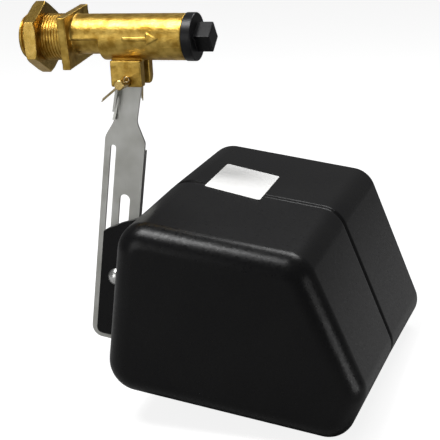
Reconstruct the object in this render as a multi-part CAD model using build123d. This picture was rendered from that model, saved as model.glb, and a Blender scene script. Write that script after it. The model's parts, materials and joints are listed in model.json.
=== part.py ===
"""Float valve: a brass piston valve closed by a lever with a hollow plastic float.

Frame: +X runs along the valve from the inlet stub to the end plug, +Z is up, and the
origin is on the valve's axis in the plane where the flange seals on the tank wall.
Everything is in millimetres. At rest the float hangs down and the valve is open.
"""

import math
import os

from build123d import *

# ---- driving dimensions -------------------------------------------------------------

# inlet thread G 3/4 and its lock nut
THREAD_R = 13.22          # major radius of G 3/4
NUT_SEAT_R = 13.0         # the stub under the nut and the wall, for the nut's plain bore
STUB_LENGTH = 27.0
STUB_FREE_END = 5.6       # the stretch outside the nut, where the supply screws on
NUT_FROM, NUT_TO = -21.0, -13.9
NUT_ACROSS_FLATS = 35.2
NUT_CHAMFER = 1.8

# cast body
BODY_R = 12.9
BODY_END = 69.75
FLANGE_THICKNESS = 4.7
FLANGE_WIDTH, FLANGE_HEIGHT = 33.8, 29.6
FLANGE_TILT = 6.5         # degrees about the valve's axis
NECK_R, NECK_RISE, NECK_END = 11.6, 2.0, 21.0
INLET_R = 6.5
CHAMBER_R, CHAMBER_FROM, CHAMBER_TO = 7.8, 10.0, 59.0
PLUG_THREAD_R = 10.5

# clevis under the body
EAR_FROM, EAR_TO = 26.2, 44.4
EAR_TOP, EAR_BOTTOM = -11.8, -26.8
EAR_OUTER, EAR_ROOT, EAR_INNER = 9.8, 6.5, 3.5
LEVER_SLOT_FROM, LEVER_SLOT_TO = 28.5, 42.0

# pivot
PIN_X, PIN_Z = 35.5, -23.5
PIN_R, PIN_BORE_R = 2.75, 2.8
PIN_FRONT, PIN_REAR = -21.0, 17.5
COTTER_HOLE_R = 0.65
COTTER_EYE_R, COTTER_WIRE_R, COTTER_LEG_R = 1.4, 0.4, 0.5
FRONT_COTTER_Y, REAR_COTTER_Y = -17.8, 14.6
FRONT_COTTER_DIP = 37.5   # degrees below the -X direction
REAR_COTTER_DIP = 86.0
COTTER_LEG = 16.0

# valve seat and piston
SEAT_LIP_X = 14.0
ORIFICE_R, LIP_R = 2.5, 3.3
PISTON_R, PISTON_FLAT, PISTON_FROM, PISTON_TO = 7.72, 6.6, 23.0, 58.8
SEAL_R, SEAL_FACE_X = 4.6, 22.3
NOSE_R, FINGER_HALF = 4.5, 2.7

# end plug
PLUG_RIM_R, PLUG_RIM_END = 13.25, 75.5
PLUG_SQUARE, PLUG_END, PLUG_TURN = 11.6, 84.6, 37.3

# lever: pressed stainless sheet, leaning back from the vertical at rest
LEVER_LEAN = 8.8
LEVER_THICKNESS = 1.5
LEVER_LEFT, LEVER_RIGHT, LEVER_END = -14.0, 10.6, 163.0
WIDE_SLOT_U, WIDE_SLOT_WIDTH = 0.9, 6.4
WIDE_SLOT_TOP, WIDE_SLOT_BOTTOM = 69.0, 140.0
NARROW_SLOT_U, NARROW_SLOT_WIDTH = -8.55, 3.5
NARROW_SLOT_TOP, NARROW_SLOT_BOTTOM = 40.4, 155.0
FRONT_FLANGE_DEPTH, REAR_FLANGE_DEPTH = 4.2, 3.0

# float: two blow-moulded shells that meet in a plane just in front of the lever
SEAM_Y = -3.0
FRONT_DEPTH, REAR_DEPTH = 84.0, 96.0
FLOAT_LEFT, FLOAT_TOP, FLOAT_BOTTOM = 26.7, 52.2, 149.8
FACE_DRAFT = 1.3
SEAM_PROFILE = [(FLOAT_LEFT, FLOAT_TOP), (127.1, FLOAT_TOP), (169.5, 125.0),
                (160.5, FLOAT_BOTTOM), (FLOAT_LEFT, FLOAT_BOTTOM)]
FRONT_PROFILE = [(28.0, FLOAT_TOP + FACE_DRAFT), (126.5, FLOAT_TOP + FACE_DRAFT),
                 (167.0, 118.0), (158.5, 148.5), (28.0, 148.5)]
REAR_PROFILE = [(26.7, 52.4), (128.5, 52.4), (174.0, 132.5), (164.0, 150.0), (26.7, 149.6)]
FLOAT_CORNERS = [16.0, 16.0, 14.0, 14.5, 17.0]
FACE_EDGE_R = 12.5
WALL = 2.2
TAB_FRONT, TAB_BACK = -4.8, -0.8
TAB_LEFT = -9.3

# clamp bolt through the tab and the lever's wide slot
BOLT_V = 120.0
BOLT_R = 2.95
DOME_R, DOME_HEIGHT = 5.5, 3.4
BOLT_REAR = 15.0
WASHER_R, WASHER_THICKNESS = 7.0, 1.4
SPRING_WASHER_R, SPRING_WASHER_THICKNESS = 5.0, 1.4
WING_HUB_R, WING_HUB_HEIGHT, WING_SPAN, WING_TIP = 5.0, 6.5, 12.3, 14.3

# blank label on the float's top face: its centre and half-edges as (along the face, depth)
LABEL_CENTRE = (66.7, 14.2)
LABEL_HALF_LENGTH = (17.0, -2.9)
LABEL_HALF_DEPTH = (-0.6, 24.2)
LABEL_CORNER_R, LABEL_THICKNESS = 1.5, 0.2

GAP = 0.05                # between faces that slide on each other

# ---- helpers ------------------------------------------------------------------------


def disc(radius, x_from, x_to):
    """A solid cylinder on the valve's axis."""
    return Pos(x_from, 0, 0) * extrude(Plane.YZ * Circle(radius), x_to - x_from)


def ring(outer, inner, x_from, x_to):
    return disc(outer, x_from, x_to) - disc(inner, x_from - 1, x_to + 1)


def post(radius, y_from, y_to, u=0.0, v=0.0):
    """A solid cylinder along Y, centred u to the right of the pin and v below it."""
    sketch = Pos(u, y_from, -v) * (Plane.XZ * Circle(radius))
    return extrude(sketch, amount=y_to - y_from, dir=(0, 1, 0))


def block(low, high):
    size = [b - a for a, b in zip(low, high)]
    middle = [(a + b) / 2 for a, b in zip(low, high)]
    return Pos(*middle) * Box(*size)


def outline(points, radii, y):
    """A closed face at depth y, from points (u, v) with v measured downwards."""
    corners = [(u, y, -v) for u, v in points]
    return make_face(FilletPolyline(*corners, radius=radii, close=True))


def plate(points, radii, y_from, y_to):
    return extrude(outline(points, radii, y_from), amount=y_to - y_from, dir=(0, 1, 0))


def slot(u, width, top, bottom, y_from, y_to):
    """A round-ended bar that cuts a slot along the lever."""
    r = width / 2
    bar = block((u - r, y_from, -bottom + r), (u + r, y_to, -top - r))
    return bar + post(r, y_from, y_to, u, top + r) + post(r, y_from, y_to, u, bottom - r)


def place_on_lever(shape):
    """From the lever's own u, v frame to its place at rest."""
    return Pos(PIN_X, 0, PIN_Z) * Rot(0, LEVER_LEAN, 0) * shape


def save(name, shape):
    solids = shape.solids()
    export_step(Compound(children=list(solids)) if len(solids) > 1 else solids[0],
                f"parts/{name}.step")


# ---- valve --------------------------------------------------------------------------


def make_body():
    barrel = disc(BODY_R, 0, BODY_END)
    neck_tool = block((FLANGE_THICKNESS, -20, -20), (NECK_END, 20, 0))
    neck_tool -= Pos(0, 0, NECK_RISE) * disc(NECK_R, 0, NECK_END + 1)
    barrel -= neck_tool
    flange = Rot(FLANGE_TILT, 0, 0) * block(
        (0, -FLANGE_WIDTH / 2, -FLANGE_HEIGHT / 2),
        (FLANGE_THICKNESS, FLANGE_WIDTH / 2, FLANGE_HEIGHT / 2))
    stub = disc(NUT_SEAT_R, -STUB_LENGTH + STUB_FREE_END, 1)
    free_end = disc(THREAD_R, -STUB_LENGTH, -STUB_LENGTH + STUB_FREE_END)
    free_end = chamfer(free_end.faces().sort_by(Axis.X)[0].edges(), 1.0)
    body = barrel + flange + stub + free_end
    for side in (-1, 1):
        body += make_ear(side)
    pin_bore = Pos(PIN_X, 0, PIN_Z) * post(PIN_BORE_R, -20, 20)
    lever_slot = block((LEVER_SLOT_FROM, -EAR_INNER, -20), (LEVER_SLOT_TO, EAR_INNER, 0))
    body -= disc(INLET_R, -STUB_LENGTH - 1, CHAMBER_FROM + 1)
    body -= disc(CHAMBER_R, CHAMBER_FROM, CHAMBER_TO + 1)
    body -= disc(PLUG_THREAD_R + GAP, CHAMBER_TO, BODY_END + 1)
    return body - pin_bore - lever_slot


def make_ear(side):
    """One clevis ear, with its lower outer edge rounded, reaching up into the barrel."""
    near, far = sorted((side * EAR_INNER, side * EAR_OUTER))
    ear = block((EAR_FROM, near, EAR_BOTTOM), (EAR_TO, far, EAR_TOP))
    outer = ear.faces().sort_by(Axis.Y)[0 if side < 0 else -1]
    lower_edge = outer.edges().sort_by(Axis.Z)[0]
    ear = fillet(lower_edge, 1.2 if side < 0 else 4.5)
    root_near, root_far = sorted((side * EAR_INNER, side * EAR_ROOT))
    return ear + block((EAR_FROM, root_near, EAR_TOP - 1), (EAR_TO, root_far, -9))


def make_lock_nut():
    hexagon = Plane.YZ * RegularPolygon(NUT_ACROSS_FLATS / 2, 6, major_radius=False)
    nut = Pos(NUT_FROM, 0, 0) * Rot(30, 0, 0) * extrude(hexagon, NUT_TO - NUT_FROM)
    corner_r = NUT_ACROSS_FLATS / 2 / math.cos(math.pi / 6)
    middle = (NUT_FROM + NUT_TO) / 2
    crown = disc(corner_r, NUT_FROM, NUT_TO)
    crown = chamfer(crown.edges().filter_by(GeomType.CIRCLE), NUT_CHAMFER / 2, NUT_CHAMFER)
    return (nut & crown) - disc(NUT_SEAT_R + GAP, middle - 10, middle + 10)


def make_seat_nozzle():
    flange = disc(CHAMBER_R - GAP, CHAMBER_FROM, CHAMBER_FROM + 2.4)
    spigot = disc(INLET_R - 0.1, CHAMBER_FROM - 6, CHAMBER_FROM)
    cone = Pos(CHAMBER_FROM + 2.4, 0, 0) * Rot(0, 90, 0) * Cone(
        5.2, LIP_R, SEAT_LIP_X - CHAMBER_FROM - 2.4, align=(Align.CENTER, Align.CENTER, Align.MIN))
    funnel = Pos(CHAMBER_FROM - 6, 0, 0) * Rot(0, 90, 0) * Cone(
        5.2, ORIFICE_R, 6, align=(Align.CENTER, Align.CENTER, Align.MIN))
    groove = ring(INLET_R + 1, 5.4, CHAMBER_FROM - 2.9, CHAMBER_FROM - 1.1)
    return flange + spigot + cone - funnel - disc(ORIFICE_R, 0, 20) - groove


def make_o_ring(x, centre_r, cord_r):
    return Pos(x, 0, 0) * Rot(0, 90, 0) * Torus(centre_r, cord_r)


def make_piston():
    square = block((PISTON_FROM, -PISTON_FLAT, -PISTON_FLAT), (PISTON_TO, PISTON_FLAT, PISTON_FLAT))
    piston = disc(PISTON_R, PISTON_FROM, PISTON_TO) & square
    nose_x = PIN_X - PIN_Z * math.sin(math.radians(LEVER_LEAN))
    half = NOSE_R + 0.2
    pocket = block((nose_x - half, -1.1, -12), (nose_x + half, 1.1, NOSE_R + 0.7))
    seal_seat = disc(SEAL_R, PISTON_FROM - 1, SEAL_FACE_X + 3)
    return piston - pocket - seal_seat


def make_piston_seal():
    return disc(SEAL_R, SEAL_FACE_X, SEAL_FACE_X + 3)


def make_end_plug():
    rim = disc(PLUG_RIM_R, BODY_END + GAP, PLUG_RIM_END)
    rim = fillet(rim.faces().sort_by(Axis.X)[-1].edges(), 0.8)
    gasket_seat = ring(12.4, PLUG_THREAD_R, BODY_END, BODY_END + 1.05)
    spigot = disc(PLUG_THREAD_R, CHAMBER_TO + 0.2, BODY_END + 1)
    square = Pos((PLUG_RIM_END + PLUG_END) / 2, 0, 0) * Rot(PLUG_TURN, 0, 0) * Box(
        PLUG_END - PLUG_RIM_END, PLUG_SQUARE, PLUG_SQUARE)
    square = chamfer(square.faces().sort_by(Axis.X)[-1].edges(), 0.4)
    return rim + square + spigot - gasket_seat - disc(8.3, 50, BODY_END + 2)


def make_plug_gasket():
    return ring(12.3, PLUG_THREAD_R + GAP, BODY_END, BODY_END + 1.0)


# ---- pivot --------------------------------------------------------------------------


def cotter_frame(y, dip):
    """Local +X runs down the split pin's legs, away from its eye."""
    return Pos(PIN_X, y, PIN_Z) * Rot(0, 180 - dip, 0)


def make_pivot_pin():
    pin = post(PIN_R, PIN_FRONT, PIN_REAR)
    pin = chamfer(pin.edges().filter_by(GeomType.CIRCLE), 0.35)
    pin = Pos(PIN_X, 0, PIN_Z) * pin
    for y, dip in ((FRONT_COTTER_Y, FRONT_COTTER_DIP), (REAR_COTTER_Y, REAR_COTTER_DIP)):
        pin -= cotter_frame(y, dip) * disc(COTTER_HOLE_R, -10, 10)
    return pin


def make_split_pin(y, dip):
    eye_centre = -PIN_R - COTTER_EYE_R - COTTER_WIRE_R
    eye = Pos(eye_centre, 0, 0) * Rot(90, 0, 0) * Torus(COTTER_EYE_R, COTTER_WIRE_R)
    legs = disc(COTTER_LEG_R, eye_centre + COTTER_EYE_R, COTTER_LEG)
    return cotter_frame(y, dip) * (eye + legs)


def make_spacer(side):
    near, far = sorted((side * (LEVER_THICKNESS / 2 + GAP), side * (EAR_INNER - GAP)))
    return Pos(PIN_X, 0, PIN_Z) * (post(4.6, near, far) - post(PIN_R + GAP, near - 1, far + 1))


# ---- lever --------------------------------------------------------------------------


def make_lever():
    half = LEVER_THICKNESS / 2
    blank = plate(
        [(-7.8, 0), (-9.4, 26.5), (LEVER_LEFT, 36.0), (LEVER_LEFT, LEVER_END),
         (LEVER_RIGHT, LEVER_END), (LEVER_RIGHT, 36.0), (4.6, 24.8), (5.9, 0)],
        [0.5, 8, 8, 7, 7, 5, 8, 0.5], -half, half)
    blank += post(7.0, -half, half, -0.3, 0.2)
    finger_top = -PIN_Z - 0.001
    blank += block((-FINGER_HALF, -half, 0), (FINGER_HALF, half, -PIN_Z))
    blank += post(NOSE_R, -half, half, 0, -finger_top)
    front_flange = plate(
        [(-8.2, 5.6), (-9.35, 25.0), (-7.85, 25.0), (-6.7, 5.6)],
        [0.3, 0.3, 0.3, 0.3], -half - FRONT_FLANGE_DEPTH, half)
    front_flange -= Pos(-8, -half - FRONT_FLANGE_DEPTH, -26) * Rot(-14, 0, 0) * Box(6, 3, 30)
    rear_flange = block((LEVER_RIGHT - LEVER_THICKNESS, -half, -150),
                        (LEVER_RIGHT, half + REAR_FLANGE_DEPTH, -41))
    lever = blank + front_flange + rear_flange
    lever -= post(PIN_R + GAP, -10, 10)
    lever -= slot(WIDE_SLOT_U, WIDE_SLOT_WIDTH, WIDE_SLOT_TOP, WIDE_SLOT_BOTTOM, -3, 3)
    lever -= slot(NARROW_SLOT_U, NARROW_SLOT_WIDTH, NARROW_SLOT_TOP, NARROW_SLOT_BOTTOM, -3, 3)
    return lever


# ---- float --------------------------------------------------------------------------


def moved_in(points, amount):
    """The same polygon with every side moved in by amount."""
    moved = []
    for i, corner in enumerate(points):
        here = Vector(*corner)
        before = (here - Vector(*points[i - 1])).normalized()
        after = (Vector(*points[(i + 1) % len(points)]) - here).normalized()
        half_turn = before.get_angle(after) / 2
        inward = (after - before).normalized()
        corner_in = here + inward * (amount / math.cos(math.radians(half_turn)))
        moved.append((corner_in.X, corner_in.Y))
    return moved


def make_shell(side, inset=0.0):
    """One solid half of the float, or its inside when inset is the wall."""
    radii = [r - inset for r in FLOAT_CORNERS]
    depth, profile = (FRONT_DEPTH, FRONT_PROFILE) if side < 0 else (REAR_DEPTH, REAR_PROFILE)
    seam = outline(moved_in(SEAM_PROFILE, inset), radii, SEAM_Y)
    face = outline(moved_in(profile, inset), radii, SEAM_Y + side * (depth - inset))
    solid = loft([seam, face], ruled=True)
    end = solid.faces().sort_by(Axis.Y)[0 if side < 0 else -1]
    return fillet(end.edges(), FACE_EDGE_R - inset)


def make_float_half(side):
    inside = make_shell(side, WALL)
    shell = make_shell(side)
    y_from, y_to = (TAB_FRONT, SEAM_Y) if side < 0 else (SEAM_Y, TAB_BACK)
    tab = plate(
        [(TAB_LEFT, 92.6), (-7.6, 91.2), (0.6, 86.2), (31.0, 71.0), (42.0, 71.0),
         (42.0, 148.0), (16.0, 158.4), (TAB_LEFT, 158.4)],
        [1.0, 1.0, 6, 2, 2, 2, 5, 3.4], y_from, y_to)
    half = shell + tab - inside - post(BOLT_R + 0.25, -10, 10, WIDE_SLOT_U, BOLT_V)
    if side > 0:
        half += block((-9.1, TAB_BACK - 0.5, -140), (-7.0, 0.6, -105))
    return half


def make_float_label():
    """A blank sheet label lying on the top face, a little askew."""
    draft = (REAR_PROFILE[0][1] - FLOAT_TOP) / REAR_DEPTH
    across, along = Vector(*LABEL_HALF_LENGTH), Vector(*LABEL_HALF_DEPTH)
    middle = Vector(*LABEL_CENTRE)
    corners = [middle - across + along, middle + across + along,
               middle + across - along, middle - across - along]
    face = make_face(FilletPolyline(*corners, radius=LABEL_CORNER_R, close=True))
    label = extrude(face, amount=LABEL_THICKNESS, dir=(0, 0, 1))
    tilt = Rot(-math.degrees(math.atan(draft)), 0, 0)
    return Pos(0, SEAM_Y, -FLOAT_TOP + GAP) * tilt * Pos(0, -SEAM_Y, 0) * label


# ---- clamp bolt ---------------------------------------------------------------------


def make_float_bolt():
    sphere_r = (DOME_R ** 2 + DOME_HEIGHT ** 2) / (2 * DOME_HEIGHT)
    dome = Pos(0, TAB_FRONT - DOME_HEIGHT + sphere_r, 0) * Sphere(sphere_r)
    dome &= block((-9, TAB_FRONT - 9, -9), (9, TAB_FRONT, 9))
    shank = post(BOLT_R, TAB_FRONT, BOLT_REAR)
    return Pos(WIDE_SLOT_U, 0, -BOLT_V) * (dome + chamfer(shank.edges().sort_by(Axis.Y)[-1], 0.6))


def make_washer(radius, y_from, thickness):
    washer = post(radius, y_from, y_from + thickness) - post(BOLT_R + 0.2, y_from - 1, 12)
    return Pos(WIDE_SLOT_U, 0, -BOLT_V) * washer


def make_spring_washer(y_from):
    washer = make_washer(SPRING_WASHER_R, y_from, SPRING_WASHER_THICKNESS)
    split = Pos(WIDE_SLOT_U, y_from, -BOLT_V + 4) * Rot(0, 0, 25) * Box(0.7, 6, 4)
    return washer - split


def make_wing_nut(y_from):
    axis = Pos(WIDE_SLOT_U, y_from, -BOLT_V)
    hub = axis * Rot(-90, 0, 0) * Cone(WING_HUB_R, 3.9, WING_HUB_HEIGHT,
                                       align=(Align.CENTER, Align.CENTER, Align.MIN))
    wing = Plane.XY * make_face(FilletPolyline(
        (2.0, 3.2), (WING_SPAN - 3.5, 4.6), (WING_SPAN, WING_TIP - y_from),
        (WING_SPAN - 4.0, WING_TIP - y_from), (2.0, 5.8),
        radius=[0.2, 3.0, 1.8, 1.8, 0.2], close=True))
    wing = Pos(0, 0, -1.0) * extrude(wing, amount=2.0, dir=(0, 0, 1))
    nut = hub + axis * wing + axis * Rot(0, 180, 0) * wing
    return nut - Pos(WIDE_SLOT_U, 0, -BOLT_V) * post(BOLT_R + GAP, 0, 30)


def main():
    os.makedirs("parts", exist_ok=True)
    save("valve_body", make_body())
    save("lock_nut", make_lock_nut())
    save("seat_nozzle", make_seat_nozzle())
    save("nozzle_o_ring", make_o_ring(CHAMBER_FROM - 2.0, 5.4 + 0.52, 0.5))
    save("piston", make_piston())
    save("piston_seal", make_piston_seal())
    save("end_plug", make_end_plug())
    save("plug_gasket", make_plug_gasket())
    save("pivot_pin", make_pivot_pin())
    save("split_pin_front", make_split_pin(FRONT_COTTER_Y, FRONT_COTTER_DIP))
    save("split_pin_rear", make_split_pin(REAR_COTTER_Y, REAR_COTTER_DIP))
    save("pivot_spacer_front", make_spacer(-1))
    save("pivot_spacer_rear", make_spacer(1))
    washer_y = LEVER_THICKNESS / 2 + GAP
    spring_y = washer_y + WASHER_THICKNESS
    on_lever = {
        "lever": make_lever(),
        "float_front_half": make_float_half(-1),
        "float_rear_half": make_float_half(1),
        "float_label": make_float_label(),
        "float_bolt": make_float_bolt(),
        "bolt_washer": make_washer(WASHER_R, washer_y, WASHER_THICKNESS),
        "bolt_spring_washer": make_spring_washer(spring_y),
        "wing_nut": make_wing_nut(spring_y + SPRING_WASHER_THICKNESS + GAP),
    }
    for name, shape in on_lever.items():
        save(name, place_on_lever(shape))


main()
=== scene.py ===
"""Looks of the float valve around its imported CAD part. Metres, in the part's own frame."""

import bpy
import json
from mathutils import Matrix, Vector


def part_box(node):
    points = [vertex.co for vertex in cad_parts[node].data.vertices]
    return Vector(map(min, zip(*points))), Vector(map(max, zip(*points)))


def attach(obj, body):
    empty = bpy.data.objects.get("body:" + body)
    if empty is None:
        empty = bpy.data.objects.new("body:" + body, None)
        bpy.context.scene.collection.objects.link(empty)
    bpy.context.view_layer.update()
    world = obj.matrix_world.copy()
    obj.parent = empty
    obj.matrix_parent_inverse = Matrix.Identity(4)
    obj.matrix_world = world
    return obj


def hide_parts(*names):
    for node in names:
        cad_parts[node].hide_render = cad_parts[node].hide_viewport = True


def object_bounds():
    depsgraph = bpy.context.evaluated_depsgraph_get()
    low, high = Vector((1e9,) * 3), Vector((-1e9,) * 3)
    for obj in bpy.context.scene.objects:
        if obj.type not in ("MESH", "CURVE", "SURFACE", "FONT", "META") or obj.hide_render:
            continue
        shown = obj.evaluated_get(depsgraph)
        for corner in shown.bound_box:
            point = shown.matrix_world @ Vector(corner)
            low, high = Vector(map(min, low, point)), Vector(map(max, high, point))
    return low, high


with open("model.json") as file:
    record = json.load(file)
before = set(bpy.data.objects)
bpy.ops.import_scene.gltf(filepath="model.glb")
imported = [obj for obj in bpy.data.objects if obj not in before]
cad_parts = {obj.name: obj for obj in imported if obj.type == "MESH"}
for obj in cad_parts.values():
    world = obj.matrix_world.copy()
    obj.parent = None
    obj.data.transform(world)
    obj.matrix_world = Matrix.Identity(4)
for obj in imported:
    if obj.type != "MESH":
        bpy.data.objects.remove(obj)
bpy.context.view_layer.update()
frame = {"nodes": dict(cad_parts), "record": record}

import json
import math

import bmesh
import bpy
from mathutils import Matrix, Vector, noise

MM = 0.001
G34_PITCH, G34_MAJOR, G34_MINOR = 1.814 * MM, 13.16 * MM, 12.05 * MM
M6_PITCH, M6_MAJOR, M6_MINOR = 1.0 * MM, 2.95 * MM, 2.45 * MM
HINGE = next(j for j in frame["record"]["behaviour"]["joints"] if j["name"] == "lever_swing")
PIVOT = Vector(HINGE["pos_m"])
SLIDE = next(j for j in frame["record"]["behaviour"]["joints"] if j["name"] == "float_slide")
UP_LEVER = Vector(SLIDE["axis"]).normalized()
STUB_BORE = 6.5 * MM
FRONT_PIN_DIP, REAR_PIN_DIP, PIN_LEG = 37.5, 86.0, 15.6 * MM
CORE_RADIUS = 11.6 * MM       # the cast stub inside its thread
BOLT_CORE, BOLT_THREAD_FROM = 2.4 * MM, 5.3 * MM
GROOVE_DEPTH, GROOVE_CUTS = 1.1, (0.5, 1.3, 2.0, 2.7, 4.0, 9.0)
TAB_REACH = 30 * MM           # the float's tab lies nearer to the lever than this
ACROSS_LEVER = Vector((UP_LEVER.z, 0, -UP_LEVER.x))


# ---- materials ----------------------------------------------------------------------


def node_of(tree, kind, **inputs):
    node = tree.nodes.new(kind)
    for name, value in inputs.items():
        node.inputs[name.replace("_", " ")].default_value = value
    return node


def ramp(tree, source, stops):
    """A colour ramp fed by source; stops are (place, colour)."""
    node = tree.nodes.new("ShaderNodeValToRGB")
    elements = node.color_ramp.elements
    while len(elements) < len(stops):
        elements.new(0.5)
    for element, (place, colour) in zip(elements, stops):
        element.position = place
        element.color = (*colour, 1)
    tree.links.new(source, node.inputs["Fac"])
    return node.outputs["Color"]


def grain(tree, scale, detail=4.0, stretch=(1, 1, 1)):
    """Noise in the piece's own space, drawn out by stretch."""
    place = tree.nodes.new("ShaderNodeTexCoord")
    mapping = node_of(tree, "ShaderNodeMapping", Scale=stretch)
    texture = node_of(tree, "ShaderNodeTexNoise", Scale=scale, Detail=detail)
    tree.links.new(place.outputs["Object"], mapping.inputs["Vector"])
    tree.links.new(mapping.outputs["Vector"], texture.inputs["Vector"])
    return texture.outputs["Fac"]


def surface(name, dark, light, rough, metal, patch, fine, bump, stretch=(1, 1, 1), spec=0.5):
    """Two tones in soft patches, roughness that follows a finer grain, and a fine bump."""
    material = bpy.data.materials.new(name)
    material.use_nodes = True
    tree = material.node_tree
    shader = tree.nodes["Principled BSDF"]
    shader.inputs["Metallic"].default_value = metal
    shader.inputs["Specular IOR Level"].default_value = spec
    patches = grain(tree, patch, 3.0)
    fines = grain(tree, fine, 5.0, stretch)
    colour = ramp(tree, patches, [(0.32, dark), (0.68, light)])
    low, high = rough
    roughness = ramp(tree, fines, [(0.3, (low,) * 3), (0.7, (high,) * 3)])
    relief = node_of(tree, "ShaderNodeBump", Strength=bump, Distance=0.00012)
    tree.links.new(fines, relief.inputs["Height"])
    tree.links.new(colour, shader.inputs["Base Color"])
    tree.links.new(roughness, shader.inputs["Roughness"])
    tree.links.new(relief.outputs["Normal"], shader.inputs["Normal"])
    return material


def make_materials():
    return {
        "cast_brass": surface("cast_brass", (0.40, 0.23, 0.035), (0.74, 0.50, 0.12),
                              (0.28, 0.48), 1.0, 210, 1500, 0.8),
        "machined_brass": surface("machined_brass", (0.44, 0.27, 0.05), (0.64, 0.43, 0.12),
                                  (0.20, 0.36), 1.0, 220, 1800, 0.18, (12, 1, 1)),
        "pin_brass": surface("pin_brass", (0.60, 0.42, 0.14), (0.76, 0.56, 0.22),
                             (0.22, 0.38), 1.0, 260, 2200, 0.15, (1, 10, 1)),
        "split_pin_brass": surface("split_pin_brass", (0.50, 0.40, 0.22), (0.66, 0.55, 0.34),
                                   (0.28, 0.42), 1.0, 300, 2500, 0.15),
        "nozzle_plastic": surface("nozzle_plastic", (0.78, 0.78, 0.75), (0.86, 0.86, 0.83),
                                  (0.38, 0.5), 0.0, 120, 1500, 0.1),
        "piston_plastic": surface("piston_plastic", (0.74, 0.74, 0.71), (0.83, 0.83, 0.80),
                                  (0.4, 0.52), 0.0, 120, 1500, 0.1),
        "plug_plastic": surface("plug_plastic", (0.004, 0.004, 0.0045), (0.007, 0.007, 0.008),
                                (0.30, 0.42), 0.0, 200, 2600, 0.22, spec=0.3),
        "seal_rubber": surface("seal_rubber", (0.02, 0.02, 0.02), (0.035, 0.035, 0.035),
                               (0.6, 0.75), 0.0, 200, 2000, 0.2),
        "stainless_sheet": surface("stainless_sheet", (0.50, 0.50, 0.46), (0.68, 0.68, 0.65),
                                   (0.34, 0.52), 1.0, 45, 900, 0.22, (9, 1, 0.35)),
        "float_plastic": surface("float_plastic", (0.0030, 0.0030, 0.0034), (0.0048, 0.0048, 0.0050),
                                 (0.26, 0.36), 0.0, 30, 700, 0.08, spec=0.22),
        "label_paper": surface("label_paper", (0.93, 0.93, 0.92), (0.98, 0.98, 0.97),
                               (0.42, 0.55), 0.0, 90, 2600, 0.08),
        "zinc_steel": surface("zinc_steel", (0.62, 0.62, 0.60), (0.80, 0.80, 0.79),
                              (0.20, 0.36), 1.0, 180, 2000, 0.15),
    }


# ---- mesh helpers -------------------------------------------------------------------


def node_slot(node):
    return next(s["material_slot"] for s in frame["record"]["subparts"] if s["node"] == node)


def node_body(node):
    return next(b for b, n in frame["record"]["behaviour"]["bodies"].items() if node in n)


def dress(piece, node, replaces=True):
    """Rides the piece on its node's body, with the node's material."""
    slot = node_slot(node)
    piece.data.materials.clear()
    piece.data.materials.append(MATERIALS[slot])
    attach(piece, node_body(node))
    if replaces:
        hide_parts(node)
    return piece


def link(name, mesh):
    piece = bpy.data.objects.new(name, mesh)
    bpy.context.scene.collection.objects.link(piece)
    return piece


def copy_of(node, name):
    """A welded copy of a CAD node's mesh."""
    mesh = frame["nodes"][node].data.copy()
    shape = bmesh.new()
    shape.from_mesh(mesh)
    bmesh.ops.remove_doubles(shape, verts=shape.verts, dist=1e-6)
    shape.to_mesh(mesh)
    shape.free()
    if mesh.has_custom_normals:
        mesh.attributes.remove(mesh.attributes["custom_normal"])
    return link(name, mesh)


def baked(piece):
    """The piece's mesh with its modifiers worked in."""
    bpy.context.view_layer.update()
    solid = piece.evaluated_get(bpy.context.evaluated_depsgraph_get())
    mesh = bpy.data.meshes.new_from_object(solid)
    piece.modifiers.clear()
    piece.data = mesh
    return piece


def shade(piece, degrees=32):
    piece.data.shade_smooth()
    piece.data.set_sharp_from_angle(angle=math.radians(degrees))
    weighted = piece.modifiers.new("normals", "WEIGHTED_NORMAL")
    weighted.keep_sharp = True
    return piece


def softened(node, name, width, segments=3):
    """A copy of a node with small rounds on its edges."""
    piece = copy_of(node, name)
    shape = bmesh.new()
    shape.from_mesh(piece.data)
    bmesh.ops.dissolve_limit(shape, angle_limit=math.radians(0.4), verts=shape.verts,
                             edges=shape.edges)
    shape.to_mesh(piece.data)
    shape.free()
    bevel = piece.modifiers.new("rounds", "BEVEL")
    bevel.width = width
    bevel.segments = segments
    bevel.limit_method = "ANGLE"
    bevel.angle_limit = math.radians(28)
    bevel.use_clamp_overlap = True
    baked(piece)
    return shade(piece)


def helix_tube(name, start, axis, length, minor, major, pitch, bore):
    """A threaded tube along axis: its outside is the thread, and its ends run out."""
    turn = axis.to_track_quat("Z", "Y").to_matrix().to_4x4()
    around, steps = 96, max(8, round(length / pitch * 14))
    verts, faces = [], []
    for i in range(steps + 1):
        along = length * i / steps
        run = min(1.0, along / (0.8 * pitch), (length - along) / (0.8 * pitch))
        for k in range(around):
            angle = 2 * math.pi * k / around
            phase = (along / pitch - k / around) % 1.0
            height = min(1.0, max(0.0, 1.5 - abs(phase - 0.5) * 4.2))
            r = minor + (major - minor) * height * max(0.0, run)
            verts.append((r * math.cos(angle), r * math.sin(angle), along))
    for i in range(steps):
        for k in range(around):
            a, b = i * around + k, i * around + (k + 1) % around
            faces.append((a, b, b + around, a + around))
    for z, outer in ((0, 0), (length, steps * around)):
        inner = len(verts)
        for k in range(around):
            angle = 2 * math.pi * k / around
            verts.append((bore * math.cos(angle), bore * math.sin(angle), z))
        for k in range(around):
            n = (k + 1) % around
            face = (outer + n, outer + k, inner + k, inner + n)
            faces.append(face if z == 0 else face[::-1])
    mesh = bpy.data.meshes.new(name)
    mesh.from_pydata(verts, [], faces)
    mesh.transform(Matrix.Translation(start) @ turn)
    piece = link(name, mesh)
    piece.data.shade_smooth()
    piece.data.set_sharp_from_angle(angle=math.radians(50))
    return piece


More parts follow.
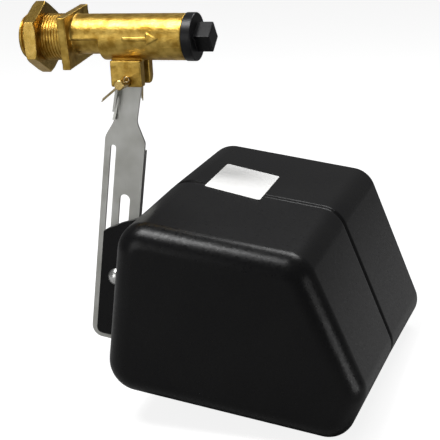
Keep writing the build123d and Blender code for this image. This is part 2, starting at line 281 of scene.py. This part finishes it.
def shrink(piece, centre, axis, radius, start, end):
    """Draws the piece in to radius about an axis, between two distances along it."""
    for vertex in piece.data.vertices:
        arm = vertex.co - centre
        along = arm.dot(axis)
        if start < along < end:
            out = arm - axis * along
            if out.length > radius:
                vertex.co = centre + axis * along + out * (radius / out.length)


# ---- valve --------------------------------------------------------------------------


def arrow_relief(x, s):
    """Height from 0 to 1 of the raised flow arrow, at x along and s around the barrel."""
    x0, x1, x2, shaft, head = 36.0, 50.0, 57.0, 1.1, 3.6
    if x0 < x < x1:
        inside = shaft - abs(s)
    elif x1 <= x < x2:
        inside = head * (x2 - x) / (x2 - x1) - abs(s)
    else:
        return 0.0
    return min(1.0, max(0.0, inside / 0.5))


def make_body():
    """Sand-cast body: soft edges, a skin of fine grain, a parting line and a flow arrow."""
    piece = copy_of("valve_body", "cast_body")
    shrink(piece, Vector((0, 0, 0)), Vector((1, 0, 0)), CORE_RADIUS, -1, -0.4 * MM)
    remesh = piece.modifiers.new("remesh", "REMESH")
    remesh.mode = "VOXEL"
    remesh.voxel_size = 0.42 * MM
    smooth = piece.modifiers.new("smooth", "SMOOTH")
    smooth.iterations = 5
    smooth.factor = 0.5
    baked(piece)
    mesh = piece.data
    normals = [v.normal.copy() for v in mesh.vertices]
    for vertex, normal in zip(mesh.vertices, normals):
        co = vertex.co / MM
        radius = math.hypot(co.y, co.z)
        if co.x < -0.2 or radius < 8.6:
            continue
        lift = 0.045 * noise.noise(vertex.co * 900) + 0.05 * noise.noise(vertex.co * 260) - 0.05
        if 21 < co.x < 69 and 12.4 < radius < 13.3:
            arc = math.atan2(co.z, -co.y) * radius
            if co.x > 58:
                lift += 0.14 * math.exp(-((arc + 4.5) / 0.40) ** 2)
            lift += 0.5 * arrow_relief(co.x, arc - 0.5)
        vertex.co += normal * lift * MM
    mesh.shade_smooth()
    return dress(piece, "valve_body")


def make_inlet_thread():
    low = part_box("valve_body")[0]
    length = -low.x - 0.25 * MM
    piece = helix_tube("inlet_thread_g34", Vector((low.x + 0.02 * MM, 0, 0)), Vector((1, 0, 0)),
                       length, G34_MINOR, G34_MAJOR, G34_PITCH, STUB_BORE)
    return dress(piece, "valve_body", replaces=False)


def make_lock_nut():
    """The hexagon nut with worn edges."""
    return dress(softened("lock_nut", "brass_lock_nut", 0.3 * MM), "lock_nut")


def split_pin(node, name, direction, length):
    """One bent wire: a leg, round the eye, and the other leg."""
    low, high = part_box(node)
    eye_r, wire_r, half_gap = 1.4 * MM, 0.34 * MM, 0.32 * MM
    along = Vector((direction[0], 0, direction[1])).normalized()
    side = Vector((-along.z, 0, along.x))
    centre = Vector((PIVOT.x, (low.y + high.y) / 2, PIVOT.z))
    eye = centre - along * 4.55 * MM
    path = [centre + along * length + side * half_gap,
            centre + along * length * 0.4 + side * half_gap,
            centre - along * 2.6 * MM + side * half_gap]
    for k in range(13):
        angle = math.radians(35 + 290 * k / 12)
        path.append(eye + (along * math.cos(angle) + side * math.sin(angle)) * eye_r)
    path += [centre - along * 2.6 * MM - side * half_gap,
             centre + along * length * 0.4 - side * half_gap,
             centre + along * (length - 1.2 * MM) - side * half_gap]
    curve = bpy.data.curves.new(name, "CURVE")
    curve.dimensions = "3D"
    curve.bevel_depth = wire_r
    curve.bevel_resolution = 4
    curve.use_fill_caps = True
    spline = curve.splines.new("POLY")
    spline.points.add(len(path) - 1)
    for point, co in zip(spline.points, path):
        point.co = (*co, 1)
    raw = link(name + "_wire", curve)
    mesh = bpy.data.meshes.new_from_object(raw)
    bpy.data.objects.remove(raw)
    piece = link(name, mesh)
    mesh.shade_smooth()
    return dress(piece, node)


def make_small_valve_parts():
    dress(softened("end_plug", "plastic_plug", 0.35 * MM), "end_plug")
    dress(softened("plug_gasket", "gasket", 0.1 * MM), "plug_gasket")
    dress(softened("pivot_pin", "turned_pivot_pin", 0.12 * MM), "pivot_pin")
    dress(softened("seat_nozzle", "nozzle", 0.1 * MM), "seat_nozzle")
    dress(softened("piston", "guided_piston", 0.25 * MM), "piston")
    dress(softened("piston_seal", "seal_disc", 0.15 * MM), "piston_seal")
    dress(shade(copy_of("nozzle_o_ring", "o_ring")), "nozzle_o_ring")
    for side in ("front", "rear"):
        node = "pivot_spacer_" + side
        dress(softened(node, "spacer_" + side, 0.12 * MM), node)
    front, rear = math.radians(FRONT_PIN_DIP), math.radians(REAR_PIN_DIP)
    split_pin("split_pin_front", "cotter_front", (-math.cos(front), -math.sin(front)), PIN_LEG)
    split_pin("split_pin_rear", "cotter_rear", (-math.cos(rear), -math.sin(rear)), PIN_LEG)


# ---- lever and float ----------------------------------------------------------------


def make_lever():
    return dress(softened("lever", "sheet_lever", 0.22 * MM), "lever")


def make_float_half(node, name, side):
    """A moulded half with the pinched step where the halves are welded."""
    piece = copy_of(node, name)
    low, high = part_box(node)
    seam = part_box("float_front_half")[1].y
    centre = (low + high) / 2
    shape = bmesh.new()
    shape.from_mesh(piece.data)
    for depth in GROOVE_CUTS:
        plane = Vector((0, seam + side * depth * MM, 0))
        geometry = shape.verts[:] + shape.edges[:] + shape.faces[:]
        bmesh.ops.bisect_plane(shape, geom=geometry, dist=1e-7, plane_co=plane,
                               plane_no=Vector((0, 1, 0)))
    shape.normal_update()
    moves = []
    for vertex in shape.verts:
        across = (vertex.co - PIVOT).dot(ACROSS_LEVER)
        out = Vector((vertex.normal.x, 0, vertex.normal.z))
        depth = (vertex.co.y - seam) * side / MM
        if across < TAB_REACH or out.length < 0.3 or depth > 3.5 or depth < -0.1:
            continue
        out.normalize()
        if out.dot(Vector((vertex.co.x - centre.x, 0, vertex.co.z - centre.z))) < 0:
            continue
        drop = GROOVE_DEPTH * max(0.0, min(1.0, (2.4 - depth) / 1.4))
        moves.append((vertex, vertex.co - out * drop * MM))
    for vertex, place in moves:
        vertex.co = place
    shape.to_mesh(piece.data)
    shape.free()
    shade(piece, 40)
    return dress(piece, node)


def make_label():
    return dress(softened("float_label", "blank_label", 0.06 * MM, 2), "float_label")


def make_clamp():
    """The cup-head bolt, its rear thread, and the washers and wing nut on it."""
    bolt = copy_of("float_bolt", "cup_head_bolt")
    low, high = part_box("float_bolt")
    axis = Vector((0, 1, 0))
    middle = Vector(((low.x + high.x) / 2, 0, (low.z + high.z) / 2))
    shrink(bolt, middle, axis, BOLT_CORE, 5.2 * MM, 1)
    dress(shade(bolt, 40), "float_bolt")
    thread = helix_tube("bolt_thread_m6", middle + axis * BOLT_THREAD_FROM, axis,
                        high.y - BOLT_THREAD_FROM, M6_MINOR, M6_MAJOR - 0.02 * MM, M6_PITCH, 1.0 * MM)
    dress(thread, "float_bolt", replaces=False)
    dress(softened("bolt_washer", "washer", 0.2 * MM), "bolt_washer")
    dress(softened("bolt_spring_washer", "spring_washer", 0.12 * MM), "bolt_spring_washer")
    dress(softened("wing_nut", "pressed_wing_nut", 0.35 * MM), "wing_nut")


# ---- studio -------------------------------------------------------------------------


def make_floor():
    """A pale floor just under the part, brighter to the camera than to the part."""
    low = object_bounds()[0]
    mesh = bpy.data.meshes.new("floor")
    half, z = 6.0, low[2] - 1.0 * MM
    mesh.from_pydata([(-half, -half, z), (half, -half, z), (half, half, z), (-half, half, z)],
                     [], [(0, 1, 2, 3)])
    floor = link("floor", mesh)
    material = bpy.data.materials.new("floor_white")
    material.use_nodes = True
    shader = material.node_tree.nodes["Principled BSDF"]
    shader.inputs["Base Color"].default_value = (0.30, 0.30, 0.30, 1)
    shader.inputs["Roughness"].default_value = 0.9
    shader.inputs["Emission Color"].default_value = (1, 1, 1, 1)
    seen = material.node_tree.nodes.new("ShaderNodeLightPath").outputs["Is Camera Ray"]
    glow = material.node_tree.nodes.new("ShaderNodeMath")
    glow.operation = "MULTIPLY"
    glow.inputs[1].default_value = 0.86
    material.node_tree.links.new(seen, glow.inputs[0])
    material.node_tree.links.new(glow.outputs[0], shader.inputs["Emission Strength"])
    mesh.materials.append(material)


def soft_light(name, place, target, width, height, power):
    light = bpy.data.lights.new(name, "AREA")
    light.shape = "RECTANGLE"
    light.size, light.size_y = width, height
    light.energy = power
    lamp = bpy.data.objects.new(name, light)
    lamp.location = place
    lamp.rotation_euler = (Vector(target) - Vector(place)).to_track_quat("-Z", "Y").to_euler()
    bpy.context.scene.collection.objects.link(lamp)


def make_studio():
    """White to the camera, dim all round otherwise, with four soft lights."""
    world = bpy.data.worlds.new("studio")
    bpy.context.scene.world = world
    world.use_nodes = True
    background = world.node_tree.nodes["Background"]
    background.inputs["Color"].default_value = (1, 1, 1, 1)
    seen = world.node_tree.nodes.new("ShaderNodeLightPath").outputs["Is Camera Ray"]
    strength = world.node_tree.nodes.new("ShaderNodeMapRange")
    strength.inputs["To Min"].default_value = 0.13
    strength.inputs["To Max"].default_value = 1.0
    world.node_tree.links.new(seen, strength.inputs["Value"])
    world.node_tree.links.new(strength.outputs["Result"], background.inputs["Strength"])
    bpy.context.scene.view_settings.view_transform = "Standard"
    soft_light("key", (-0.20, -0.32, 0.95), (0.09, 0, -0.08), 0.42, 0.42, 12)
    soft_light("top", (0.25, 0.55, 0.75), (0.08, 0, -0.1), 0.5, 0.3, 4)
    soft_light("side", (0.75, -0.20, -0.22), (0.12, 0, -0.12), 0.3, 0.3, 1.5)
    soft_light("front", (-0.45, -0.9, 0.1), (0.05, 0, -0.03), 0.5, 0.5, 1.5)


def make_camera():
    """Three-quarter view from the front right, a little above."""
    data = bpy.data.cameras.new("camera")
    data.sensor_width = 36.0
    data.lens = 90.78
    data.shift_x, data.shift_y = -0.0213, 0.0060
    camera = bpy.data.objects.new("camera", data)
    place, target = Vector((0.27392, -0.57574, 0.08570)), Vector((0.08866, 0, -0.10605))
    back = (place - target).normalized()
    right = Vector((0, 0, 1)).cross(back).normalized()
    up = back.cross(right)
    roll = math.radians(-2.6268)
    x_axis = right * math.cos(roll) + up * math.sin(roll)
    y_axis = up * math.cos(roll) - right * math.sin(roll)
    turn = Matrix((x_axis, y_axis, back)).transposed().to_4x4()
    camera.matrix_world = Matrix.Translation(place) @ turn
    bpy.context.scene.collection.objects.link(camera)
    bpy.context.scene.camera = camera


MATERIALS = make_materials()
make_body()
make_inlet_thread()
make_lock_nut()
make_small_valve_parts()
make_lever()
make_float_half("float_front_half", "float_front", -1)
make_float_half("float_rear_half", "float_rear", 1)
make_label()
make_clamp()
make_floor()
make_studio()
make_camera()
